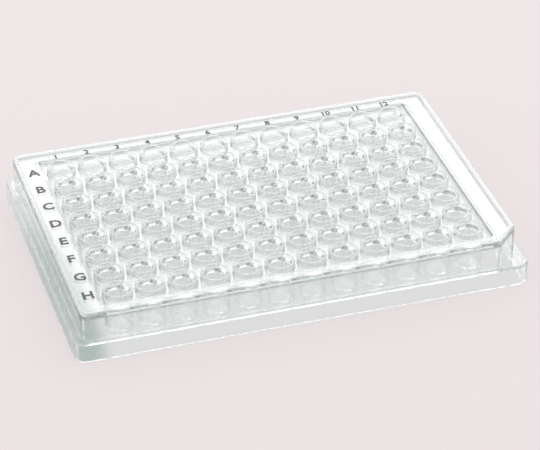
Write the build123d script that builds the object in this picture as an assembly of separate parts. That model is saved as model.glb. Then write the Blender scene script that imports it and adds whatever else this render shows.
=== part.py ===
"""A 96-well plate: one clear polystyrene moulding, open underneath.

X runs along the columns 1 to 12, Y from row H (front) to row A (back), Z up.
The origin is the centre of the footprint, on the table.
"""

from build123d import *

import math
import os

# Driving dimensions, in millimetres.

# The base flange, which is what holders and robots grip.
footprint_length = 127.76
footprint_width = 85.48
footprint_corner_radius = 3.18
flange_height = 6.10
flange_wall = 1.30

# The upper body, which stands in from the flange and leaves a ledge for a lid.
plate_height = 14.35
ledge_at_ends = 2.15
ledge_at_sides = 1.70
ledge_thickness = 1.20
body_wall = 1.20
body_corner_radius = 2.50
corner_cut = 6.35

# The deck, sunk inside a rim, and the field round the wells, a further step down.
rim_width = 1.40
rim_height = 0.90
deck_thickness = 1.20
field_margin = 5.40
field_step = 1.00
field_corner_radius = 1.00

# The wells: tapered tubes that hang from the deck, each with a raised ring.
well_rows = 8
well_columns = 12
well_pitch = 9.00
mouth_diameter = 6.86
floor_diameter = 6.35
tube_wall = 0.65
ring_height = 0.50
well_floor_thickness = 1.20
gap_under_wells = 2.00

# Broken edges.
rim_edge_radius = 0.35
ledge_edge_radius = 0.50
foot_edge_radius = 0.30

# Levels and sizes that follow from them.
body_length = footprint_length - 2 * ledge_at_ends
body_width = footprint_width - 2 * ledge_at_sides
field_length = (well_columns - 1) * well_pitch + 2 * field_margin
field_width = (well_rows - 1) * well_pitch + 2 * field_margin
deck_top = plate_height - rim_height
field_top = deck_top - field_step
ring_top = deck_top + ring_height
well_floor = gap_under_wells + well_floor_thickness
well_depth = ring_top - well_floor


def flange_outline():
    """The footprint: a rectangle with four rounded corners."""
    return RectangleRounded(footprint_length, footprint_width, footprint_corner_radius)


def body_outline():
    """The upper body: three rounded corners and a flat cut at the corner by well H12."""
    outline = Rectangle(body_length, body_width)
    corners = outline.vertices().sort_by(Axis((0, 0, 0), (1, -1, 0)))
    outline = fillet(corners[:-1], body_corner_radius)
    cut = outline.vertices().sort_by(Axis((0, 0, 0), (1, -1, 0)))[-1]
    return chamfer(cut, corner_cut)


def field_outline():
    """The field: a rectangle round all the wells."""
    return RectangleRounded(field_length, field_width, field_corner_radius)


def slab(outline, low, high):
    """A flat outline carried straight up from one level to another."""
    return extrude(Pos(0, 0, low) * outline, high - low)


def shell():
    """Flange, ledge and upper body, hollow from below, with the deck and the field sunk into the top."""
    flange = slab(flange_outline(), 0, flange_height)
    flange = fillet(flange.faces().sort_by(Axis.Z)[-1].edges(), ledge_edge_radius)
    flange = fillet(flange.faces().sort_by(Axis.Z)[0].edges(), foot_edge_radius)
    body = slab(body_outline(), 0, plate_height)
    body = fillet(body.faces().sort_by(Axis.Z)[-1].edges(), rim_edge_radius)

    flange_inside = offset(flange_outline(), -flange_wall)
    body_inside = offset(body_outline(), -body_wall)
    rim_inside = offset(body_outline(), -rim_width)

    solid = flange + body
    solid -= slab(flange_inside, 0, flange_height - ledge_thickness)
    solid -= slab(body_inside, 0, deck_top - deck_thickness)
    solid -= slab(rim_inside, deck_top, plate_height)
    solid += slab(offset(field_outline(), deck_thickness), field_top - deck_thickness, deck_top)
    solid -= slab(field_outline(), field_top, plate_height)
    return solid


def taper(low_diameter, high_diameter, low, high):
    """A round bar between two levels, wider at the top, on the Z axis."""
    bar = Cone(low_diameter / 2, high_diameter / 2, high - low, align=(Align.CENTER, Align.CENTER, Align.MIN))
    return Pos(0, 0, low) * bar


def well_places():
    """The centres of all the wells."""
    return GridLocations(well_pitch, well_pitch, well_columns, well_rows)


def plate():
    """The shell with a tube at every place, then every tube bored out from above."""
    tube = taper(floor_diameter + 2 * tube_wall, mouth_diameter + 2 * tube_wall, gap_under_wells, ring_top)
    bore = taper(floor_diameter, mouth_diameter, well_floor, ring_top)
    tubes = [place * tube for place in well_places()]
    bores = [place * bore for place in well_places()]
    return shell() + tubes - bores


well_plate = plate()

os.makedirs("parts", exist_ok=True)
export_step(well_plate, "parts/well_plate.step")
mean_square = (mouth_diameter**2 + mouth_diameter * floor_diameter + floor_diameter**2) / 3
print(f"each well is {well_depth:.2f} mm deep and holds {math.pi / 4 * mean_square * well_depth:.0f} microlitres")
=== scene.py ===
import math

import bmesh
import bpy
import numpy as np
from mathutils import Color, Matrix, Vector


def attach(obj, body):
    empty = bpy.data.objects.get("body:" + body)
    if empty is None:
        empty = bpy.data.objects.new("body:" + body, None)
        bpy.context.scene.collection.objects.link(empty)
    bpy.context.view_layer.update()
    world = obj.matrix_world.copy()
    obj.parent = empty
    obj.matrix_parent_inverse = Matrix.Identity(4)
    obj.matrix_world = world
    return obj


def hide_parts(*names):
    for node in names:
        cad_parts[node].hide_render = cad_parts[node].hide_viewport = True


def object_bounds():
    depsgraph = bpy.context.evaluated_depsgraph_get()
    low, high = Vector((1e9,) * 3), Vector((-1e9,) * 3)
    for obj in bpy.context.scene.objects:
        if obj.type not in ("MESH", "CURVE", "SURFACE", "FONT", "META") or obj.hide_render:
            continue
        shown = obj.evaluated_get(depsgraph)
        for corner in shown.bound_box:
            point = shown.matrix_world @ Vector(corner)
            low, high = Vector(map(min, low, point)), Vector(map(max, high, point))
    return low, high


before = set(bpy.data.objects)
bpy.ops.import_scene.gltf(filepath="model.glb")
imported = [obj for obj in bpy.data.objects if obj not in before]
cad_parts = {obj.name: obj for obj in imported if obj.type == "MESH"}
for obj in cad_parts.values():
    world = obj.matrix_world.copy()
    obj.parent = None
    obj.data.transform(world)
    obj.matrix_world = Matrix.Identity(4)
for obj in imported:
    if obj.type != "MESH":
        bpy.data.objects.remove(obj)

bl_info = {
    "name": "Well plate",
    "version": (1, 0, 0),
    "blender": (4, 5, 0),
    "location": "3D View > Sidebar > Well plate",
    "description": "A clear moulded 96-well plate with printed row letters and column numbers",
    "category": "Object",
}

MM = 0.001
NODE = "well_plate"
CAD_LOW, CAD_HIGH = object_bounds()
CAD_SIZE = CAD_HIGH - CAD_LOW
PAINTED_SHADE = "edge"                       # the moulding's attribute for its share of painted shade along its edges
INK = "print_ink"

SIDE_STEPS = 8                      # steps along one side of a well's square cell
CORNER_STEPS = 4                    # steps from the end of a straight side to the middle of a corner
WELD = 1e-7                         # points closer than this, in metres, become one
LEAST_RADIUS = 0.3 * MM             # an outline that is drawn in keeps at least this corner radius
LEAST_LENGTH = 1e-12                # a summed normal shorter than this has no direction, and stays short
MIDDLE = 0.3                        # where a rounding's middle lies, in radii from both its sides

# Shares of painted shade, kept in the edge attribute: 0 on an open face, 1 on the darkest painted line. They
# darken the plastic's colour into painted dark lines and bands along the step, the ledge and the outer wall.
SHADE_ALONG_WALL = 1.0                    # the step's wall, and the painted dark band on the outer wall
SHADE_FIELD_BY_STEP = 0.6                 # the field's edge
SHADE_FIELD_BY_WELLS = 0.5                # the field where the wells' cells begin
SHADE_DECK_BY_STEP = 0.5                  # the deck's edge, above the step
SHADE_LEDGE_ALL_OVER = 0.35
SHADE_ABOVE_BAND = 0.25                   # the outer wall at the deck's upper face
# The painted dark band of shade on the outer wall, at the deck's level, measured from the deck's two faces.
SHADE_BAND_TOP = 0.30 * MM                # down from the upper face, where the band is full
SHADE_BAND_FOOT = 0.35 * MM               # up from the lower face, where it is still full
SHADE_BAND_END = 0.25 * MM                # down from the lower face, where it has gone

CAPITAL_SHARE = 0.69                # height of a capital in a font of size 1
INK_SPREAD = 0.042                  # how far ink spreads past a glyph's outline, as a share of its height
GLYPH_STEPS = 3                     # steps along each curve of a glyph's outline

# How close the features of each finish lie, per metre: the broad ones, then the fine ones.
MOULD_SCALES = (90.0, 1400.0)
INK_SCALES = (700.0, 4000.0)
INK_SHINE_SCALES = (500.0, 3000.0)
INK_SHINE = (0.42, 0.62)            # roughness of the ink, from its shiniest spots to its dullest
POLISH_SPREAD = (0.6, 1.4)          # the moulding's roughness in its shiniest and dullest patches, as shares
GRAIN_SHARE = 0.35                  # how much of an uneven finish is the fine grain
SWELL_DETAIL, GRAIN_DETAIL = 2.0, 3.0   # octaves of noise in each
NOISE_LOW, NOISE_HIGH = 0.3, 0.7    # what noise mostly lies between

FLOOR_REACH = 3.0                   # from the plate to the floor's edge, in metres
FLOOR_LEVEL = -0.1 * MM             # just under the plate's foot, so that the two don't flicker
FLOOR_ROUGHNESS = 0.9
LIT_FROM, LIT_BY = -2 * MM, 8 * MM  # where the card turns from plain to painted light, past the plate's edge
SHADE_CORE, SHADE_RIM = 0.5, 1.1    # where the painted shade is full and where it has gone, in its own half widths
LIT_SIDE = (0.45, 0.65, 0.60)       # from the plate towards the lamps' side of the room
ROOM_TURN = 0.8                     # how far either way from that side's middle the room's level changes
SOFTBOXES = (                       # name, place, side in metres, watts
    ("softbox_behind", (0.25, 0.80, 0.55), 0.8, 3.25),
    ("softbox_front", (-0.5, -0.9, 0.7), 0.6, 1.0),
)


# Sizes and colours a user would change.

def distance(name, description, millimetres):
    """A length property, given in millimetres."""
    return bpy.props.FloatProperty(
        name=name, description=description, default=millimetres * MM, min=0.0,
        subtype="DISTANCE", unit="LENGTH", precision=5)


def colour(name, description, rgb):
    """A colour property without alpha, in linear values."""
    return bpy.props.FloatVectorProperty(
        name=name, description=description, default=rgb, min=0.0, max=1.0, size=3, subtype="COLOR")


def share(name, description, value):
    """A factor property, from none to all."""
    return bpy.props.FloatProperty(
        name=name, description=description, default=value, min=0.0, max=1.0, subtype="FACTOR")


def number(name, description, value, high):
    """A plain number property, from 0 to its highest value."""
    return bpy.props.FloatProperty(name=name, description=description, default=value, min=0.0, max=high)


def angle(name, description, degrees):
    """An angle property, given in degrees."""
    return bpy.props.FloatProperty(
        name=name, description=description, default=math.radians(degrees), subtype="ANGLE")


class PlateSizes(bpy.types.PropertyGroup):
    """The moulding's own sizes. Its length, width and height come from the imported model."""
    flange_radius: distance("Flange corner", "Corner radius of the base flange", 3.18)
    flange_height: distance("Flange height", "Height of the base flange", 6.10)
    flange_wall: distance("Flange wall", "Wall of the base flange", 1.30)
    ledge_at_ends: distance("Ledge at ends", "How far the body stands in at each end", 2.15)
    ledge_at_sides: distance("Ledge at sides", "How far the body stands in at each side", 1.70)
    ledge_thickness: distance("Ledge thickness", "Thickness of the lid ledge", 1.20)
    body_wall: distance("Body wall", "Wall of the upper body", 1.20)
    body_radius: distance("Body corner", "Corner radius of the upper body", 2.50)
    corner_cut: distance("Corner cut", "Flat across the corner by the last well", 6.35)
    rim_width: distance("Rim width", "Width of the rim round the deck", 1.40)
    rim_height: distance("Rim height", "How far the rim stands above the deck", 0.90)
    deck_thickness: distance("Deck thickness", "Thickness of the deck", 1.20)
    field_margin: distance("Field margin", "From the outermost wells' centres to the sunk field's edge", 5.40)
    field_step: distance("Field step", "How far the field lies below the deck", 1.00)
    field_radius: distance("Field corner", "Corner radius of the sunk field", 1.00)
    rim_edge: distance("Rim edge", "Rounding along the rim", 0.35)
    ledge_edge: distance("Ledge edge", "Rounding along the ledge", 0.50)
    foot_edge: distance("Foot edge", "Rounding along the foot", 0.30)
    pitch: distance("Well pitch", "Distance between neighbouring wells", 9.0)
    mouth: distance("Mouth diameter", "Inside diameter at a well's mouth", 6.86)
    floor: distance("Floor diameter", "Inside diameter at a well's floor", 6.35)
    tube_wall: distance("Tube wall", "Wall of each well's tube", 0.65)
    ring_height: distance("Ring height", "How far each well's ring stands above the deck", 0.50)
    floor_thickness: distance("Floor thickness", "Thickness of each well's floor", 1.20)
    gap_under: distance("Gap under wells", "Room between a tube's end and the table", 2.00)
    # Painted shade: the width of the painted dark line on the deck, along the step.
    shade_line_width: distance("Edge line", "Width of the darker line on the deck, along the step", 0.50)
    lip: distance("Lip rounding", "Rounding of a ring's edges", 0.12)
    floor_edge: distance("Floor rounding", "Rounding where a well's wall meets its floor", 0.30)
    rows: bpy.props.IntProperty(name="Rows", description="Rows of wells", default=8, min=1)
    columns: bpy.props.IntProperty(name="Columns", description="Columns of wells", default=12, min=1)


class PlateFinish(bpy.types.PropertyGroup):
    """Colours and surface of the plastic and the ink, and the sizes of the print."""
    tint: colour("Tint", "Colour of the polystyrene", (0.976, 0.985, 0.983))
    # Painted shade: the colour that the plastic is darkened towards on its painted dark lines and bands.
    painted_shade_tint: colour("Edge tint", "Colour where light has gone far along a wall", (0.29, 0.315, 0.31))
    depth_tint: colour("Depth tint", "Colour that light takes on inside the plastic", (0.70, 0.93, 0.86))
    depth: number("Depth", "How fast that colour builds up, per metre", 6.0, 1000.0)
    shadow_tint: colour("Shadow tint", "What each wall lets through to what lies behind", (0.98, 0.99, 0.986))
    roughness: share("Roughness", "Polish of the moulded surface", 0.10)
    clearness: share("Clearness", "How much light passes rather than scatters", 1.0)
    refraction: number("Refraction", "Index of refraction of polystyrene", 1.59, 3.0)
    ink: colour("Ink", "Colour of the printed letters and numbers", (0.05, 0.052, 0.055))
    thin_ink: colour("Thin ink", "Colour of the ink where it lies thin", (0.12, 0.125, 0.13))
    waviness: distance("Waviness", "Depth of the relief on the moulded surface and the print", 0.010)
    letter_height: distance("Letter height", "Height of the row letters", 3.2)
    letters_out: distance("Letters out", "From the plate's middle to the row letters' middle", 57.5)
    number_height: distance("Number height", "Height of the column numbers", 2.0)
    numbers_out: distance("Numbers out", "From the plate's middle to the column numbers' middle", 38.15)
    ink_thickness: distance("Ink thickness", "Thickness of the print", 0.06)


class StageSetup(bpy.types.PropertyGroup):
    """Floor, lamps and camera. The card is what the plastic and other surfaces take the floor for, and it
    carries painted light and shade: a painted shadow under the plate, painted light beyond its back and right
    sides, and a painted shade at its left end.
    """
    floor_colour: colour("Floor", "Colour of the floor and backdrop", (0.863, 0.791, 0.799))
    # Painted shadow: the card under the plate is darker than the card beyond it.
    painted_card: colour("Card", "The card under the plate", (0.75, 0.75, 0.75))
    # Painted light: the card beyond the plate's back and right sides.
    card_painted_light: colour("Lit card", "The card beyond the plate's back and right sides", (0.98, 0.98, 0.98))
    # Painted shade: an oval of darker, greener card under the plate's left end, with where it lies and how
    # far it reaches.
    card_painted_shade: colour("Shaded card", "The card in the shade at the left end", (0.425, 0.495, 0.475))
    shade_in: distance("Shade in", "From the plate's left end to the middle of the shade", 3.6)
    shade_ahead: distance("Shade ahead", "How far in front of the plate's middle the shade lies", 14.0)
    shade_across: distance("Shade across", "How far the shade reaches along the plate", 8.2)
    shade_along: distance("Shade along", "How far the shade reaches towards front and back", 46.0)
    # Painted shade in reflections: the card that gloss shows is darker at the plate's left end than at its
    # right.
    painted_gloss_left: share("Card in gloss, left", "Level of the card by its left end, in its gloss", 0.68)
    painted_gloss_right: share("Card in gloss, right", "Level of the card by its right end, in its gloss", 0.80)
    wall_colour: colour("Wall", "Colour of the backdrop beyond the floor", (0.90, 0.86, 0.865))
    room_bright: share("Room, lit side", "Level that the plastic shows towards the lamps", 1.0)
    room_dark: share("Room, far side", "Level that the plastic shows away from the lamps", 0.7)
    room_light: number("Room light", "Even light from all round", 0.8, 10.0)
    floor_evenness: share("Floor evenness", "How much of the floor is seen in its own plain colour", 0.5)
    # Painted light: where the plastic is looked through, the card glows in its own colour in place of the
    # plastic's shadow.
    floor_through_plastic: share("Floor through plastic", "How much of its shadow the plastic leaves out", 1)
    lens: number("Lens", "Focal length in millimetres", 180.2, 1000.0)
    azimuth: angle("Azimuth", "Camera's turn round the plate", -17.26)
    elevation: angle("Elevation", "Camera's height above the table", 33.44)
    camera_distance: distance("Camera distance", "Camera's distance from the plate", 759.0)
    aim_right: distance("Aim right", "How far right of the origin the camera aims", 2.44)
    aim_up: distance("Aim up", "How far above the origin the camera aims", 3.81)


# Outlines: closed loops with the same number of points, all starting at the same place.

def cells_outline(sizes):
    """The rectangle round all the wells' cells, anticlockwise from the front-left corner.

    Each side is divided evenly, SIDE_STEPS to a cell, so its points are the cells' own."""
    half_x = sizes.columns * sizes.pitch / 2
    half_y = sizes.rows * sizes.pitch / 2
    corners = np.array([(-half_x, -half_y), (half_x, -half_y), (half_x, half_y), (-half_x, half_y)])
    counts = [sizes.columns * SIDE_STEPS, sizes.rows * SIDE_STEPS] * 2
    sides = [corners[i] + np.outer(np.arange(n) / n, corners[(i + 1) % 4] - corners[i])
             for i, n in enumerate(counts)]
    return np.concatenate(sides)


def corner_bend(radius, cut, turn):
    """Points round one corner, measured from where the two sides would meet, for a bend that starts
    along +X and ends along +Y, then turned.

    Rounded: a quarter circle. Cut: the straight line between the two ends of the cut."""
    along = np.linspace(0, 1, 2 * CORNER_STEPS + 1)
    if cut:
        points = np.stack([(along - 1) * cut, along * cut], axis=1)
    else:
        swing = along * math.pi / 2
        points = np.stack([radius * (np.sin(swing) - 1), radius * (1 - np.cos(swing))], axis=1)
    c, s = math.cos(turn), math.sin(turn)
    return points @ np.array([(c, s), (-s, c)])


def rounded_outline(sizes, length, width, radius, cut=0.0):
    """A rectangle with bent corners, point for point with cells_outline, with its front-right corner cut
    flat where cut is given.

    Each corner's bend takes CORNER_STEPS points on each side of the corner, and the straight between
    two bends is divided evenly."""
    counts = [sizes.columns * SIDE_STEPS, sizes.rows * SIDE_STEPS] * 2
    corners = np.array([(-length, -width), (length, -width), (length, width), (-length, width)]) / 2
    cuts = (0.0, cut, 0.0, 0.0)
    bends = [corners[i] + corner_bend(radius, cuts[i], (i - 1) * math.pi / 2) for i in range(4)]
    loop = []
    for i, count in enumerate(counts):
        start, end = bends[i], bends[(i + 1) % 4]
        straight = count - 2 * CORNER_STEPS
        steps = np.arange(1, straight)[:, None] / straight
        loop += [start[CORNER_STEPS:], start[-1] + steps * (end[0] - start[-1]), end[:CORNER_STEPS]]
    return np.concatenate(loop)


def loop_normals(loop):
    """The outward direction at each point of a closed loop: its neighbours' chord, turned a quarter right."""
    chord = np.roll(loop, -1, axis=0) - np.roll(loop, 1, axis=0)
    across = np.stack([chord[:, 1], -chord[:, 0]], axis=1)
    return across / np.linalg.norm(across, axis=1, keepdims=True)


# Surfaces: grids of points and their normals, welded into one closed mesh.

class Surface:
    """Collects grids, each closed along its first parameter, and joins them where they touch."""

    def __init__(self):
        self.points, self.normals, self.edges, self.quads, self.count = [], [], [], [], 0

    def add(self, points, normals, edge, flip=False):
        """points and normals are (..., rings, steps, 3), and every leading index is one more copy. edge
        gives each ring's share of painted shade."""
        copies = points.reshape(-1, *points.shape[-3:])
        normals = np.broadcast_to(normals, points.shape).reshape(copies.shape)
        total, rings, steps, _ = copies.shape
        index = np.arange(total * rings * steps).reshape(total, rings, steps) + self.count
        ahead = np.roll(index, -1, axis=2)
        quads = np.stack([index[:, :-1], ahead[:, :-1], ahead[:, 1:], index[:, 1:]], axis=-1).reshape(-1, 4)
        self.points.append(copies.reshape(-1, 3))
        self.normals.append(normals.reshape(-1, 3))
        self.edges.append(np.broadcast_to(np.asarray(edge, float)[:, None], (total, rings, steps)).ravel())
        self.quads.append(quads[:, ::-1] if flip else quads)
        self.count += total * rings * steps

    def mesh(self, name):
        """One mesh: points closer than WELD become one, and quads that close up at a pole become
        triangles. A welded point's normal is the mean of those that met there, and its share of painted shade
        is the largest."""
        points = np.concatenate(self.points)
        normals = np.concatenate(self.normals)
        keys = np.round(points / WELD).astype(np.int64)
        _, first, weld = np.unique(keys, axis=0, return_index=True, return_inverse=True)
        weld = weld.reshape(-1)
        quads = weld[np.concatenate(self.quads)]
        summed = np.zeros((len(first), 3))
        np.add.at(summed, weld, normals)
        summed /= np.maximum(np.linalg.norm(summed, axis=1, keepdims=True), LEAST_LENGTH)
        keep = quads != np.roll(quads, -1, axis=1)
        size = keep.sum(axis=1)
        quads, keep, size = quads[size > 2], keep[size > 2], size[size > 2]
        mesh = bpy.data.meshes.new(name)
        mesh.vertices.add(len(first))
        mesh.vertices.foreach_set("co", points[first].ravel())
        mesh.loops.add(int(size.sum()))
        mesh.loops.foreach_set("vertex_index", quads[keep].astype(np.int32))
        mesh.polygons.add(len(size))
        mesh.polygons.foreach_set("loop_start", (np.cumsum(size) - size).astype(np.int32))
        mesh.update(calc_edges=True)
        mesh.validate()
        mesh.polygons.foreach_set("use_smooth", np.ones(len(mesh.polygons), bool))
        mesh.normals_split_custom_set_from_vertices(summed)
        # Painted shade: each point's share of the dark lines and bands painted into the plastic's colour.
        edge = mesh.attributes.new(PAINTED_SHADE, "FLOAT", "POINT")
        shares = np.zeros(len(first))
        np.maximum.at(shares, weld, np.concatenate(self.edges))
        edge.data.foreach_set("value", shares.astype(np.float32))
        return mesh


def sweep(surface, rings):
    """A profile carried round the plate: each ring is a loop of points at a level.

    rings holds (loop, level, outward, upward, edge): outward and upward weigh the loop's own direction and
    the vertical in the surface normal, and edge is the ring's share of painted shade."""
    points = np.stack([np.column_stack([loop, np.full(len(loop), level)]) for loop, level, *_ in rings])
    normals = np.stack([np.column_stack([outward * loop_normals(loop), np.full(len(loop), upward)])
                        for loop, _, outward, upward, _ in rings])
    surface.add(points, normals, [ring[4] for ring in rings], flip=True)


def cells(sizes):
    """The centres of the wells, as (rows * columns, 2)."""
    x = (np.arange(sizes.columns) - (sizes.columns - 1) / 2) * sizes.pitch
    y = (np.arange(sizes.rows) - (sizes.rows - 1) / 2) * sizes.pitch
    return np.stack(np.meshgrid(x, y), axis=-1).reshape(-1, 2)


def cell_square(sizes):
    """One cell's square edge, anticlockwise from its front-left corner, SIDE_STEPS to a side."""
    half = sizes.pitch / 2
    corners = np.array([(-half, -half), (half, -half), (half, half), (-half, half)])
    even = np.arange(SIDE_STEPS)[:, None] / SIDE_STEPS
    return np.concatenate([corners[i] + even * (corners[(i + 1) % 4] - corners[i]) for i in range(4)])


def turned_profile(sizes, level, profile):
    """One cell: from its square edge at a level, in to a round profile turned about the cell's middle.

    profile holds (radius, level, outward, upward), the last two being the weights in the surface normal. A
    ring's points are (radius cos t, radius sin t, level), with t going evenly round from the direction of
    the cell's front-left corner, -3/4 of a half turn."""
    square = cell_square(sizes)
    steps = len(square)
    t = (np.arange(steps) / steps * 2 - 3 / 4) * math.pi
    ray = np.stack([np.cos(t), np.sin(t)], axis=1)
    radius, height, outward, upward = np.array(profile).T
    rings = radius[:, None, None] * ray
    points = np.concatenate([
        np.column_stack([square, np.full(steps, level)])[None],
        np.concatenate([rings, np.broadcast_to(height[:, None, None], (len(radius), steps, 1))], axis=2)])
    up = np.sign(upward[0])
    flat = np.broadcast_to((0.0, 0.0, up), (1, steps, 3))
    curved = np.concatenate([outward[:, None, None] * ray,
                             np.broadcast_to(upward[:, None, None], (len(radius), steps, 1))], axis=2)
    return points, np.concatenate([flat, curved])


def add_cells(surface, sizes, level, profile, flip=False):
    """The same round profile in every cell, moved to each well's centre."""
    points, normals = turned_profile(sizes, level, profile)
    shift = np.pad(cells(sizes), ((0, 0), (0, 1)))[:, None, None, :]
    normals = np.broadcast_to(normals, (len(shift), *normals.shape))
    surface.add(points + shift, normals, np.zeros(len(points)), flip)


def moulding_mesh(sizes, size):
    """The whole moulding as one closed surface."""
    length, width, height = size
    deck = height - sizes.rim_height
    deck_under = deck - sizes.deck_thickness
    field = deck - sizes.field_step
    field_under = field - sizes.deck_thickness
    ring_top = deck + sizes.ring_height
    tube_end = sizes.gap_under
    well_floor = tube_end + sizes.floor_thickness
    surface = Surface()

    # Wells from above: field, ring, mouth, tapering wall, floor.
    mouth, floor, lip, bend = sizes.mouth / 2, sizes.floor / 2, sizes.lip, sizes.floor_edge
    ring = mouth + sizes.tube_wall
    add_cells(surface, sizes, field, [
        (ring + lip, field, 0, 1),
        (ring, field + lip, 1, 0),
        (ring, ring_top - lip, 1, 0),
        (ring - lip, ring_top, 0, 1),
        (mouth + lip, ring_top, 0, 1),
        (mouth, ring_top - lip, -1, 0),
        (floor, well_floor + bend, -1, 0),
        (floor - MIDDLE * bend, well_floor + MIDDLE * bend, -1, 1),
        (floor - bend, well_floor, 0, 1),
        (0, well_floor, 0, 1),
    ])

    # Tubes from below: field, root, wall, end.
    end = floor + sizes.tube_wall
    root = end + (ring - end) * (field_under - tube_end) / (ring_top - tube_end)
    add_cells(surface, sizes, field_under, [
        (root + bend, field_under, 0, -1),
        (root, field_under - bend, 1, 0),
        (end, tube_end + bend, 1, 0),
        (end - bend, tube_end, 0, -1),
        (0, tube_end, 0, -1),
    ], flip=True)

    # The shell, from the field up to the deck, over the rim, down the outside and back up the inside.
    body_length = length - 2 * sizes.ledge_at_ends
    body_width = width - 2 * sizes.ledge_at_sides
    slant = 2 - math.sqrt(2)

    def body(inset):
        """The upper body's outline, drawn in all round, the flat of its cut as far as its sides."""
        return rounded_outline(sizes, body_length - 2 * inset, body_width - 2 * inset,
                               max(sizes.body_radius - inset, LEAST_RADIUS), sizes.corner_cut - slant * inset)

    def flange(inset):
        """The flange's outline, drawn in all round."""
        return rounded_outline(sizes, length - 2 * inset, width - 2 * inset,
                               max(sizes.flange_radius - inset, LEAST_RADIUS))

    def step(outset):
        """The sunk field's outline, drawn out all round."""
        return rounded_outline(sizes, (sizes.columns - 1) * sizes.pitch + 2 * (sizes.field_margin + outset),
                               (sizes.rows - 1) * sizes.pitch + 2 * (sizes.field_margin + outset),
                               sizes.field_radius + outset)

    wells_edge = cells_outline(sizes)
    wall = sizes.deck_thickness
    edge, ledge_edge, foot = sizes.rim_edge, sizes.ledge_edge, sizes.foot_edge
    ledge, ledge_under = sizes.flange_height, sizes.flange_height - sizes.ledge_thickness
    # Each ring's last value is its share of painted shade.
    sweep(surface, [
        (wells_edge, field, 0, 1, SHADE_FIELD_BY_WELLS),
        (step(-lip), field, 0, 1, SHADE_FIELD_BY_STEP),
        (step(0), field + lip, -1, 0, SHADE_ALONG_WALL),
        (step(0), deck - lip, -1, 0, SHADE_ALONG_WALL),
        (step(lip), deck, 0, 1, SHADE_DECK_BY_STEP),
        (step(sizes.shade_line_width), deck, 0, 1, 0),
        (body(sizes.rim_width + lip), deck, 0, 1, 0),
        (body(sizes.rim_width), deck + lip, -1, 0, 0),
        (body(sizes.rim_width), height - lip, -1, 0, 0),
        (body(sizes.rim_width - lip), height, 0, 1, 0),
        (body(edge), height, 0, 1, 0),
        (body(MIDDLE * edge), height - MIDDLE * edge, 1, 1, 0),
        (body(0), height - edge, 1, 0, 0),
        (body(0), deck, 1, 0, SHADE_ABOVE_BAND),
        (body(0), deck - SHADE_BAND_TOP, 1, 0, SHADE_ALONG_WALL),
        (body(0), deck_under + SHADE_BAND_FOOT, 1, 0, SHADE_ALONG_WALL),
        (body(0), deck_under - SHADE_BAND_END, 1, 0, 0),
        (body(0), ledge + lip, 1, 0, 0),
        (body(-lip), ledge, 0, 1, SHADE_LEDGE_ALL_OVER),
        (flange(ledge_edge), ledge, 0, 1, SHADE_LEDGE_ALL_OVER),
        (flange(MIDDLE * ledge_edge), ledge - MIDDLE * ledge_edge, 1, 1, SHADE_LEDGE_ALL_OVER),
        (flange(0), ledge - ledge_edge, 1, 0, 0),
        (flange(0), foot, 1, 0, 0),
        (flange(MIDDLE * foot), MIDDLE * foot, 1, -1, 0),
        (flange(foot), 0, 0, -1, 0),
        (flange(sizes.flange_wall - lip), 0, 0, -1, 0),
        (flange(sizes.flange_wall), lip, -1, 0, 0),
        (flange(sizes.flange_wall), ledge_under - lip, -1, 0, 0),
        (flange(sizes.flange_wall + lip), ledge_under, 0, -1, 0),
        (body(sizes.body_wall - lip), ledge_under, 0, -1, 0),
        (body(sizes.body_wall), ledge_under + lip, -1, 0, 0),
        (body(sizes.body_wall), deck_under - bend, -1, 0, 0),
        (body(sizes.body_wall + bend), deck_under, 0, -1, 0),
        (step(wall + lip), deck_under, 0, -1, 0),
        (step(wall), deck_under - lip, 1, 0, 0),
        (step(wall), field_under + lip, 1, 0, 0),
        (step(wall - lip), field_under, 0, -1, 0),
        (wells_edge, field_under, 0, -1, 0),
    ])
    return surface.mesh("plate_moulding")


# Materials.

def feed(tree, socket, value):
    """Links a socket to another node's output, or sets it to a value, a colour as an opaque one."""
    if isinstance(value, bpy.types.NodeSocket):
        tree.links.new(value, socket)
    else:
        socket.default_value = (*value, 1.0) if isinstance(value, Color) else value


def blended(tree, factor, first, second):
    """A colour between two others."""
    node = tree.nodes.new("ShaderNodeMix")
    node.data_type = "RGBA"
    for name, value in (("Factor", factor), ("A", first), ("B", second)):
        feed(tree, node.inputs[name], value)
    return node.outputs["Result"]


def graded(tree, value, low, high, to_low=0.0, to_high=1.0, smooth=False):
    """A value carried from one range over to another, and held at its ends."""
    node = tree.nodes.new("ShaderNodeMapRange")
    node.interpolation_type = "SMOOTHSTEP" if smooth else "LINEAR"
    for name, wanted in (("Value", value), ("From Min", low), ("From Max", high),
                         ("To Min", to_low), ("To Max", to_high)):
        feed(tree, node.inputs[name], wanted)
    return node.outputs["Result"]


def worked_out(tree, kind, operation, *values):
    """The outputs of one sum, on numbers or on vectors."""
    node = tree.nodes.new(kind)
    node.operation = operation
    for socket, value in zip(node.inputs, values):
        feed(tree, socket, value)
    return node.outputs


def one_or_other(tree, factor, first, second):
    """Two shaders mixed by a factor."""
    node = tree.nodes.new("ShaderNodeMixShader")
    for socket, value in zip(node.inputs, (factor, first, second)):
        feed(tree, socket, value)
    return node.outputs[0]


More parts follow.
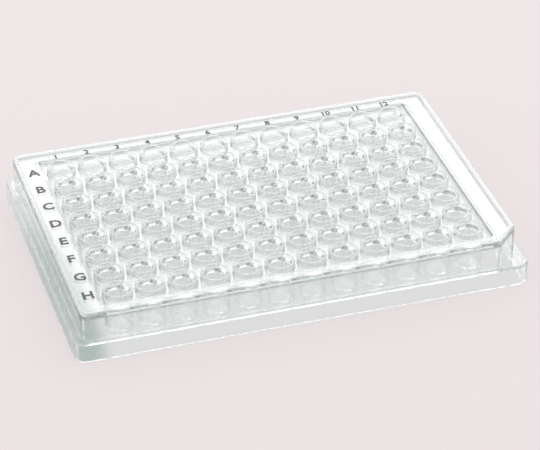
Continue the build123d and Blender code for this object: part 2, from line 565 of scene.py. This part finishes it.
def uneven_finish():
    """A node group for a surface that is never quite even: soft noise on Object coordinates, put out as a
    level between two values, and as a height in which a broad swell carries a fine grain."""
    name = "uneven_finish"
    if name in bpy.data.node_groups:
        return bpy.data.node_groups[name]
    tree = bpy.data.node_groups.new(name, "ShaderNodeTree")
    for label, value in (("Broad", 120.0), ("Fine", 900.0), ("Low", 0.0), ("High", 1.0)):
        socket = tree.interface.new_socket(label, in_out="INPUT", socket_type="NodeSocketFloat")
        socket.default_value = value
    tree.interface.new_socket("Level", in_out="OUTPUT", socket_type="NodeSocketFloat")
    tree.interface.new_socket("Height", in_out="OUTPUT", socket_type="NodeSocketFloat")
    start = tree.nodes.new("NodeGroupInput").outputs
    end = tree.nodes.new("NodeGroupOutput")
    place = tree.nodes.new("ShaderNodeTexCoord").outputs["Object"]
    swell_and_grain = tree.nodes.new("ShaderNodeMix")
    swell_and_grain.inputs["Factor"].default_value = GRAIN_SHARE
    for socket, scale, detail in (("A", "Broad", SWELL_DETAIL), ("B", "Fine", GRAIN_DETAIL)):
        noise = tree.nodes.new("ShaderNodeTexNoise")
        noise.inputs["Detail"].default_value = detail
        feed(tree, noise.inputs["Vector"], place)
        feed(tree, noise.inputs["Scale"], start[scale])
        feed(tree, swell_and_grain.inputs[socket], noise.outputs["Fac"])
    height = swell_and_grain.outputs["Result"]
    feed(tree, end.inputs["Level"], graded(tree, height, NOISE_LOW, NOISE_HIGH, start["Low"], start["High"]))
    feed(tree, end.inputs["Height"], height)
    return tree


def place_uneven(tree, scales, low, high):
    """The uneven finish in a material, with that material's own values: its outputs."""
    node = tree.nodes.new("ShaderNodeGroup")
    node.node_tree = uneven_finish()
    for name, value in (("Broad", scales[0]), ("Fine", scales[1]), ("Low", low), ("High", high)):
        node.inputs[name].default_value = value
    return node.outputs


def bumped(tree, shader, height, depth):
    """A height that moves the shading normal, as deep as the real relief."""
    bump = tree.nodes.new("ShaderNodeBump")
    bump.inputs["Strength"].default_value = 1.0
    bump.inputs["Distance"].default_value = depth
    feed(tree, bump.inputs["Height"], height)
    feed(tree, shader.inputs["Normal"], bump.outputs["Normal"])


def new_material(name):
    """A new node material: itself, its tree, its shader and its output."""
    material = bpy.data.materials.new(name)
    material.use_nodes = True
    nodes = material.node_tree.nodes
    return material, material.node_tree, nodes["Principled BSDF"], nodes["Material Output"]


def polystyrene(finish):
    """Clear polystyrene with a moulded polish: slightly wavy, a little less polished in patches, and with
    painted shade, dark lines and bands painted into its colour along the step, the ledge and the outer wall.
    Light on its way to other things passes straight through with the plastic's tint, as it does through a
    thin clear wall."""
    material, tree, shader, output = new_material("moulded_polystyrene")
    shiniest, dullest = POLISH_SPREAD
    surface = place_uneven(tree, MOULD_SCALES, shiniest * finish.roughness, dullest * finish.roughness)
    # Painted shade: the colour goes from the tint towards the painted shade tint by each point's share.
    edge = tree.nodes.new("ShaderNodeAttribute")
    edge.attribute_name = PAINTED_SHADE
    feed(tree, shader.inputs["Base Color"], blended(tree, edge.outputs["Fac"], finish.tint, finish.painted_shade_tint))
    feed(tree, shader.inputs["Roughness"], surface["Level"])
    bumped(tree, shader, surface["Height"], finish.waviness)
    shader.inputs["IOR"].default_value = finish.refraction
    shader.inputs["Transmission Weight"].default_value = finish.clearness
    clear = tree.nodes.new("ShaderNodeBsdfTransparent")
    clear.inputs["Color"].default_value = (*finish.shadow_tint, 1.0)
    path = tree.nodes.new("ShaderNodeLightPath").outputs
    feed(tree, output.inputs["Surface"],
         one_or_other(tree, path["Is Shadow Ray"], shader.outputs[0], clear.outputs[0]))
    depth = tree.nodes.new("ShaderNodeVolumeAbsorption")
    depth.inputs["Color"].default_value = (*finish.depth_tint, 1.0)
    depth.inputs["Density"].default_value = finish.depth
    feed(tree, output.inputs["Volume"], depth.outputs[0])
    return material


def ink_material(finish):
    """Matt printing ink, laid a little unevenly: thinner and greyer in spots. It is made once."""
    if INK in bpy.data.materials:
        return bpy.data.materials[INK]
    material, tree, shader, _ = new_material(INK)
    laid = place_uneven(tree, INK_SCALES, 0.0, 1.0)
    feed(tree, shader.inputs["Base Color"], blended(tree, laid["Level"], finish.ink, finish.thin_ink))
    feed(tree, shader.inputs["Roughness"], place_uneven(tree, INK_SHINE_SCALES, *INK_SHINE)["Level"])
    bumped(tree, shader, laid["Height"], finish.waviness)
    return material


def card(tree, stage, place):
    """The card's colour and its level in gloss, both with painted light and shade. The colour is a painted
    shadow under the plate, painted light beyond the plate's back and right sides, and a painted shade in an
    oval patch at its left end, where distance is counted in the oval's own half widths. The level in gloss
    rises evenly from the plate's left end to its right, a painted shade in reflections on the left."""
    along = tree.nodes.new("ShaderNodeSeparateXYZ")
    feed(tree, along.inputs["Vector"], place)
    past = [graded(tree, along.outputs[axis], edge + LIT_FROM, edge + LIT_BY, smooth=True)
            for axis, edge in (("X", CAD_HIGH.x), ("Y", CAD_HIGH.y))]
    beyond = worked_out(tree, "ShaderNodeMath", "MAXIMUM", *past)[0]
    # Painted light beyond the plate's back and right sides; the plain card under the plate is its painted
    # shadow.
    lit = blended(tree, beyond, stage.painted_card, stage.card_painted_light)
    # Painted shade: an oval patch of darker card at the plate's left end.
    from_middle = worked_out(tree, "ShaderNodeVectorMath", "SUBTRACT", place,
                             (CAD_LOW.x + stage.shade_in, -stage.shade_ahead, 0.0))[0]
    in_widths = worked_out(tree, "ShaderNodeVectorMath", "DIVIDE", from_middle,
                           (stage.shade_across, stage.shade_along, 1.0))[0]
    away = worked_out(tree, "ShaderNodeVectorMath", "LENGTH", in_widths)["Value"]
    out_of_shade = graded(tree, away, SHADE_CORE, SHADE_RIM, smooth=True)
    # Painted shade in reflections: the level rises from the left end to the right.
    painted_gloss_level = graded(tree, along.outputs["X"], CAD_LOW.x, CAD_HIGH.x, stage.painted_gloss_left, stage.painted_gloss_right)
    return blended(tree, out_of_shade, stage.card_painted_shade, lit), painted_gloss_level


def floor_material(stage):
    """A plain pale matt floor: in the backdrop's colour where it is looked at, and a pale card with painted
    light and shade to everything else. Clear plastic shows that card glowing in its own colour, without the
    plastic's
    own shadow: painted light in place of real light passing through the plastic onto the floor beneath. Gloss
    shows it at a level that rises from left to right, a painted shade on the left."""
    material, tree, shader, output = new_material("studio_floor")
    shader.inputs["Roughness"].default_value = FLOOR_ROUGHNESS
    shader.inputs["Specular IOR Level"].default_value = 0.0
    path = tree.nodes.new("ShaderNodeLightPath").outputs
    place = tree.nodes.new("ShaderNodeTexCoord").outputs["Object"]
    painted_card, painted_gloss_level = card(tree, stage, place)
    shade = blended(tree, path["Is Camera Ray"], painted_card, stage.floor_colour)
    feed(tree, shader.inputs["Base Color"], blended(tree, path["Is Glossy Ray"], shade, painted_gloss_level))
    # Painted light: for rays through the plastic the card glows in its own colour, in place of the plastic's
    # shadow.
    glow = tree.nodes.new("ShaderNodeEmission")
    feed(tree, glow.inputs["Color"], shade)
    through = worked_out(tree, "ShaderNodeMath", "MULTIPLY",
                         path["Is Transmission Ray"], stage.floor_through_plastic)[0]
    even = worked_out(tree, "ShaderNodeMath", "MULTIPLY_ADD",
                      path["Is Camera Ray"], stage.floor_evenness, through)[0]
    feed(tree, output.inputs["Surface"], one_or_other(tree, even, shader.outputs[0], glow.outputs[0]))
    return material


def studio_world(stage):
    """A white room: an even light on the plate, a plain pale backdrop where it is looked at, and in gloss and
    clear plastic a white room that dims away from the lamps' side."""
    world = bpy.data.worlds.new("studio")
    world.use_nodes = True
    tree = world.node_tree
    light = tree.nodes["Background"]
    light.inputs["Color"].default_value = (1.0, 1.0, 1.0, 1.0)
    light.inputs["Strength"].default_value = stage.room_light
    wall = tree.nodes.new("ShaderNodeBackground")
    wall.inputs["Color"].default_value = (*stage.wall_colour, 1.0)
    wall.inputs["Strength"].default_value = 1.0
    room = tree.nodes.new("ShaderNodeBackground")
    room.inputs["Strength"].default_value = 1.0
    way = tree.nodes.new("ShaderNodeTexCoord").outputs["Generated"]
    lit_side = Vector(LIT_SIDE).normalized()
    towards = worked_out(tree, "ShaderNodeVectorMath", "DOT_PRODUCT", way, lit_side)["Value"]
    feed(tree, room.inputs["Color"],
         graded(tree, towards, -ROOM_TURN, ROOM_TURN, stage.room_dark, stage.room_bright, smooth=True))
    path = tree.nodes.new("ShaderNodeLightPath").outputs
    by_plastic = worked_out(tree, "ShaderNodeMath", "MAXIMUM",
                            path["Is Glossy Ray"], path["Is Transmission Ray"])[0]
    unseen = one_or_other(tree, by_plastic, light.outputs[0], room.outputs[0])
    feed(tree, tree.nodes["World Output"].inputs["Surface"],
         one_or_other(tree, path["Is Camera Ray"], unseen, wall.outputs[0]))
    return world


# Operators.

def link(name, data):
    """A new object in the scene, at the origin."""
    made = bpy.data.objects.new(name, data)
    bpy.context.scene.collection.objects.link(made)
    return made


def printed(text, height, place, level, thickness):
    """Raised print: a glyph outline filled and given a thickness, centred on a place, as mesh data."""
    curve = bpy.data.curves.new("glyph", "FONT")
    curve.body = text
    curve.size = height / CAPITAL_SHARE
    curve.align_x = "CENTER"
    curve.extrude = thickness / 2
    curve.offset = INK_SPREAD * height
    curve.resolution_u = GLYPH_STEPS
    holder = link("glyph", curve)
    graph = bpy.context.evaluated_depsgraph_get()
    mesh = bpy.data.meshes.new_from_object(holder.evaluated_get(graph))
    bpy.data.objects.remove(holder)
    bpy.data.curves.remove(curve)
    corners = np.array([vertex.co for vertex in mesh.vertices])
    middle = (corners.min(axis=0) + corners.max(axis=0)) / 2 * (1, 1, 0)
    mesh.transform(Matrix.Translation(Vector((*place, level + thickness / 2)) - Vector(middle)))
    return mesh


def print_on_deck(name, texts, height, places):
    """One piece of ink on the deck, with a text at each place."""
    scene = bpy.context.scene
    finish = scene.plate_finish
    deck = CAD_SIZE.z - scene.plate_sizes.rim_height
    whole = bmesh.new()
    for text, place in zip(texts, places):
        mesh = printed(text, height, place, deck, finish.ink_thickness)
        whole.from_mesh(mesh)
        bpy.data.meshes.remove(mesh)
    bmesh.ops.remove_doubles(whole, verts=whole.verts, dist=WELD)
    data = bpy.data.meshes.new(name)
    whole.to_mesh(data)
    whole.free()
    data.materials.append(ink_material(finish))
    return link(name, data)


class WELLPLATE_OT_moulding(bpy.types.Operator):
    """Make the clear moulding"""
    bl_idname = "wellplate.moulding"
    bl_label = "Moulding"

    def execute(self, context):
        scene = context.scene
        mesh = moulding_mesh(scene.plate_sizes, CAD_SIZE)
        mesh.materials.append(polystyrene(scene.plate_finish))
        piece = link("plate_moulding", mesh)
        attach(piece, "root")
        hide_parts(NODE)
        return {"FINISHED"}


class WELLPLATE_OT_row_letters(bpy.types.Operator):
    """Print the row letters at the left end of the deck"""
    bl_idname = "wellplate.row_letters"
    bl_label = "Row letters"

    def execute(self, context):
        sizes, finish = context.scene.plate_sizes, context.scene.plate_finish
        letters = [chr(ord("A") + i) for i in range(sizes.rows)]
        places = [(-finish.letters_out, ((sizes.rows - 1) / 2 - i) * sizes.pitch) for i in range(sizes.rows)]
        piece = print_on_deck("row_letters", letters, finish.letter_height, places)
        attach(piece, "root")
        return {"FINISHED"}


class WELLPLATE_OT_column_numbers(bpy.types.Operator):
    """Print the column numbers along the back of the deck"""
    bl_idname = "wellplate.column_numbers"
    bl_label = "Column numbers"

    def execute(self, context):
        sizes, finish = context.scene.plate_sizes, context.scene.plate_finish
        numbers = [str(i + 1) for i in range(sizes.columns)]
        places = [((i - (sizes.columns - 1) / 2) * sizes.pitch, finish.numbers_out)
                  for i in range(sizes.columns)]
        piece = print_on_deck("column_numbers", numbers, finish.number_height, places)
        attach(piece, "root")
        return {"FINISHED"}


def add_floor(stage):
    """A square floor, flat under the plate."""
    mesh = bpy.data.meshes.new("studio_floor")
    corners = [(-FLOOR_REACH, -FLOOR_REACH, 0), (FLOOR_REACH, -FLOOR_REACH, 0),
               (FLOOR_REACH, FLOOR_REACH, 0), (-FLOOR_REACH, FLOOR_REACH, 0)]
    mesh.from_pydata(corners, [], [(0, 1, 2, 3)])
    mesh.materials.append(floor_material(stage))
    floor = link("studio_floor", mesh)
    floor.location.z = FLOOR_LEVEL
    return floor


def add_softbox(name, place, side, watts):
    """A square lamp that faces the plate."""
    lamp = bpy.data.lights.new(name, "AREA")
    lamp.shape = "SQUARE"
    lamp.size = side
    lamp.energy = watts
    holder = link(name, lamp)
    holder.location = place
    holder.rotation_euler = (-Vector(place)).to_track_quat("-Z", "Y").to_euler()


def add_camera(stage):
    """The camera: turned round the plate and raised, then moved sideways and up in its own view."""
    azimuth, elevation = stage.azimuth, stage.elevation
    back = Vector((math.sin(azimuth) * math.cos(elevation), -math.cos(azimuth) * math.cos(elevation),
                   math.sin(elevation)))
    right = Vector((math.cos(azimuth), math.sin(azimuth), 0))
    up = back.cross(right)
    data = bpy.data.cameras.new("camera")
    data.sensor_width = 36.0
    data.lens = stage.lens
    data.clip_start, data.clip_end = 0.01, 20.0
    camera = link("camera", data)
    place = stage.aim_right * right + stage.aim_up * up + stage.camera_distance * back
    camera.matrix_world = Matrix.Translation(place) @ Matrix((right, up, back)).transposed().to_4x4()
    return camera


class WELLPLATE_OT_stage(bpy.types.Operator):
    """Make the floor, the lamps and the camera"""
    bl_idname = "wellplate.stage"
    bl_label = "Stage"

    def execute(self, context):
        scene = context.scene
        stage = scene.stage_setup
        floor = add_floor(stage)
        scene.world = studio_world(stage)
        for softbox in SOFTBOXES:
            add_softbox(*softbox)
        scene.camera = add_camera(stage)
        scene.view_settings.view_transform = "Standard"
        scene.cycles.max_bounces = 40
        scene.cycles.transmission_bounces = 40
        scene.cycles.glossy_bounces = 32
        scene.cycles.diffuse_bounces = 8
        scene.cycles.transparent_max_bounces = 64
        return {"FINISHED"}


class WELLPLATE_PT_panel(bpy.types.Panel):
    """Lists the plate's pieces"""
    bl_idname = "WELLPLATE_PT_panel"
    bl_label = "Well plate"
    bl_space_type = "VIEW_3D"
    bl_region_type = "UI"
    bl_category = "Well plate"

    def draw(self, context):
        for operator in OPERATORS:
            self.layout.operator(operator.bl_idname)


OPERATORS = (WELLPLATE_OT_moulding, WELLPLATE_OT_row_letters, WELLPLATE_OT_column_numbers, WELLPLATE_OT_stage)
CLASSES = (PlateSizes, PlateFinish, StageSetup, *OPERATORS, WELLPLATE_PT_panel)


def register():
    """Registers the classes and hangs the settings on the scene."""
    for cls in CLASSES:
        bpy.utils.register_class(cls)
    bpy.types.Scene.plate_sizes = bpy.props.PointerProperty(type=PlateSizes)
    bpy.types.Scene.plate_finish = bpy.props.PointerProperty(type=PlateFinish)
    bpy.types.Scene.stage_setup = bpy.props.PointerProperty(type=StageSetup)


def unregister():
    """Takes the settings and the classes away again."""
    del bpy.types.Scene.plate_sizes, bpy.types.Scene.plate_finish, bpy.types.Scene.stage_setup
    for cls in reversed(CLASSES):
        bpy.utils.unregister_class(cls)


def main():
    """Makes every piece in order."""
    register()
    bpy.ops.wellplate.moulding()
    bpy.ops.wellplate.row_letters()
    bpy.ops.wellplate.column_numbers()
    bpy.ops.wellplate.stage()


if __name__ == "__main__":
    main()
